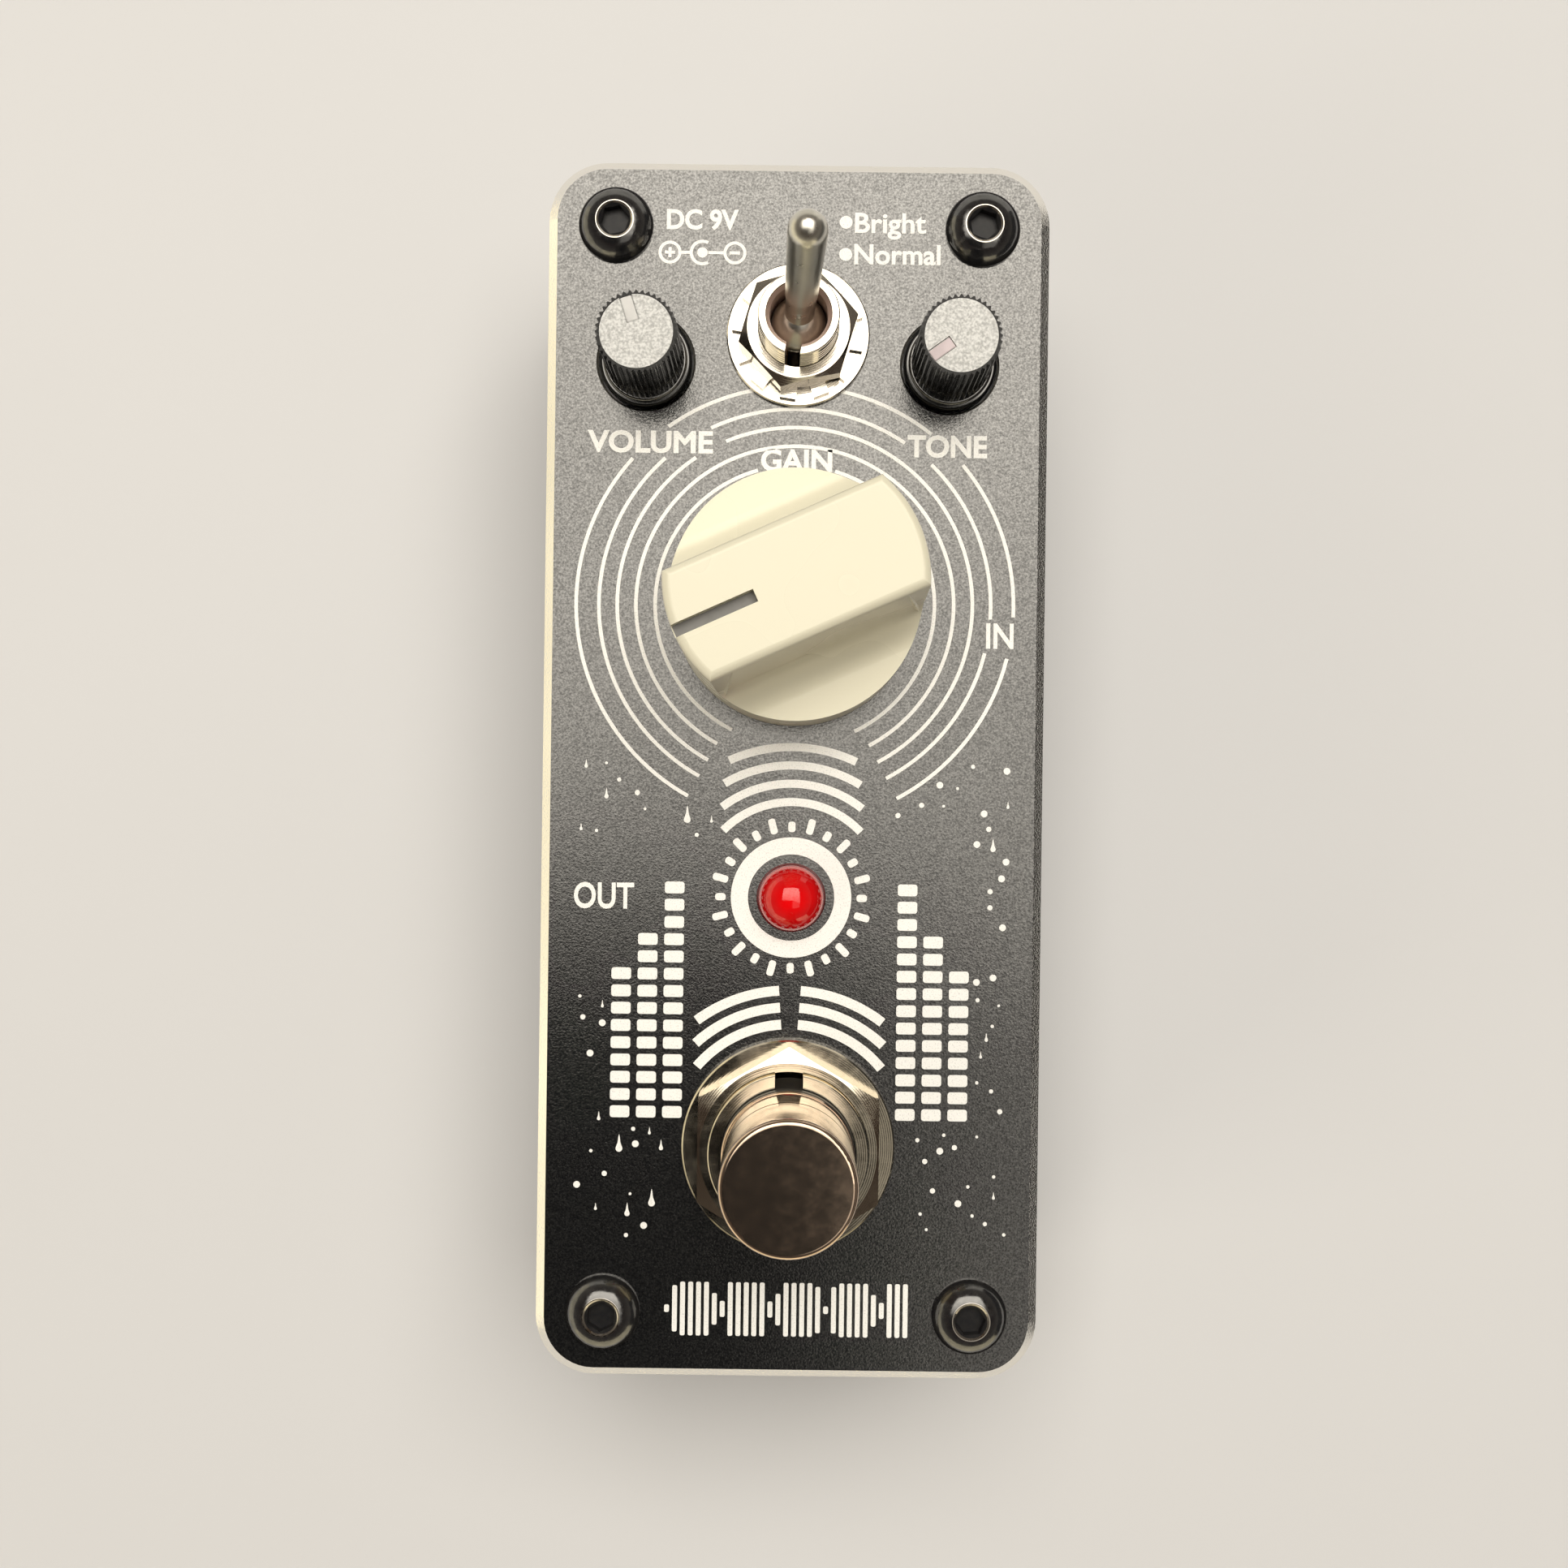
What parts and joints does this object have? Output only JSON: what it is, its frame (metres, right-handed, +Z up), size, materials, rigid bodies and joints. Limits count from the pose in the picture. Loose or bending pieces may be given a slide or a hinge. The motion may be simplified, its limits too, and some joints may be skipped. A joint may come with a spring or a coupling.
{
  "type": "guitar effects pedal",
  "caption": "Mini guitar distortion pedal: slim metal box with a stomp switch, bar knob, small knobs, toggle, lamp, phone jacks and a power socket.",
  "frame": {"origin": "on the surface the pedal stands on, under the centre of its bounding box", "axes": "+Z up through the top panel, +Y along the pedal towards the power socket and away from the footswitch, +X towards the input side"},
  "size_m": [0.0384, 0.093, 0.049],
  "materials": {
    "black_anodised_panel": "black anodised, fine bead-blasted, polished edge chamfer",
    "black_enclosure": "black satin powder coat",
    "rubber": "matt",
    "black_screw": "black oxide, glossy",
    "nickel": "bright nickel plating, worn",
    "steel": "plain",
    "spring_steel": "plain",
    "ivory_plastic": "polished moulded",
    "black_gloss_plastic": "glossy moulded",
    "grey_cap": "fine sparkle texture",
    "black_plastic": "moulded",
    "blue_plastic": "moulded",
    "red_phenolic": "moulded",
    "white_plastic": "moulded",
    "brown_board": "phenolic board",
    "green_board": "solder-masked glass epoxy",
    "brass": "plain",
    "tinned_lead": "tinned",
    "red_lens": "clear glossy red epoxy, lit",
    "ribbon_grey": "flat cable",
    "resistor_blue": "lacquered",
    "diode_glass": "glassy",
    "film_red": "dipped",
    "can_sleeve": "sleeved can"
  },
  "bodies": {
    "pedal": {"enclosure_body": "black_enclosure", "base_pad": "rubber", "top_panel": "black_anodised_panel", "panel_screws": "black_screw", "footswitch_washer": "nickel", "footswitch_nut": "nickel", "footswitch_lower_nut": "nickel", "footswitch_bushing": "nickel", "footswitch_frame": "steel", "footswitch_housing": "blue_plastic", "footswitch_base": "brown_board", "footswitch_lugs": "brass", "footswitch_board": "green_board", "ribbon_cable": "ribbon_grey", "toggle_washer": "nickel", "toggle_lock_washer": "nickel", "toggle_nut": "nickel", "toggle_bushing": "nickel", "toggle_frame": "steel", "toggle_case": "red_phenolic", "toggle_lugs": "tinned_lead", "led_lens": "red_lens", "led_leads": "tinned_lead", "led_spacer": "black_plastic", "main_board": "green_board", "op_amp": "black_plastic", "component_leads": "tinned_lead", "resistors": "resistor_blue", "diodes": "diode_glass", "film_capacitors": "film_red", "electrolytic_capacitors": "can_sleeve", "input_jack_housing": "black_plastic", "input_jack_contacts": "brass", "output_jack_housing": "black_plastic", "output_jack_contacts": "brass", "dc_jack_housing": "black_plastic", "dc_jack_pin": "nickel", "dc_jack_contacts": "brass", "gain_pot_body": "steel", "gain_pot_bushing": "nickel", "gain_pot_nut": "nickel", "gain_pot_lugs": "tinned_lead", "volume_pot_body": "steel", "volume_pot_lugs": "tinned_lead", "tone_pot_body": "steel", "tone_pot_lugs": "tinned_lead"},
    "footswitch_button": {"footswitch_plunger": "nickel", "footswitch_actuator": "white_plastic", "footswitch_spring": "spring_steel"},
    "toggle_lever_body": {"toggle_lever": "nickel"},
    "toggle_rocker_body": {"toggle_rocker": "brass"},
    "gain_control": {"gain_pot_shaft": "nickel", "gain_knob": "ivory_plastic"},
    "volume_control": {"volume_pot_shaft": "white_plastic", "volume_knob": "black_gloss_plastic", "volume_knob_cap": "grey_cap"},
    "tone_control": {"tone_pot_shaft": "white_plastic", "tone_knob": "black_gloss_plastic", "tone_knob_cap": "grey_cap"}
  },
  "joints": [
    {"name": "footswitch_press", "type": "slide", "parent": "pedal", "child": "footswitch_button", "axis": [0, 0, -1], "range_m": [0, 0.0033], "stiffness_N_per_m": 2500, "springref_m": -0.004, "deforming": ["footswitch_spring"]},
    {"name": "toggle_throw", "type": "hinge", "parent": "pedal", "child": "toggle_lever_body", "pos_m": [0, 0.0332, 0.0345], "axis": [0.9885, -0.1513, 0], "range_deg": [0, 30]},
    {"name": "toggle_rock", "type": "hinge", "parent": "pedal", "child": "toggle_rocker_body", "pos_m": [0, 0.0332, 0.0222], "axis": [0.9885, -0.1513, 0], "range_deg": [-16, 0]},
    {"name": "gain_turn", "type": "hinge", "parent": "pedal", "child": "gain_control", "pos_m": [0, 0.01265, 0.031], "axis": [0, 0, 1], "range_deg": [-264.4, 35.6]},
    {"name": "volume_turn", "type": "hinge", "parent": "pedal", "child": "volume_control", "pos_m": [-0.0116, 0.0311, 0.031], "axis": [0, 0, 1], "range_deg": [-158, 122]},
    {"name": "tone_turn", "type": "hinge", "parent": "pedal", "child": "tone_control", "pos_m": [0.0116, 0.0311, 0.031], "axis": [0, 0, 1], "range_deg": [-266, 14]}
  ],
  "couplings": [
    {"joint": "toggle_rock", "follows": "toggle_throw", "ratio": -0.53333}
  ]
}
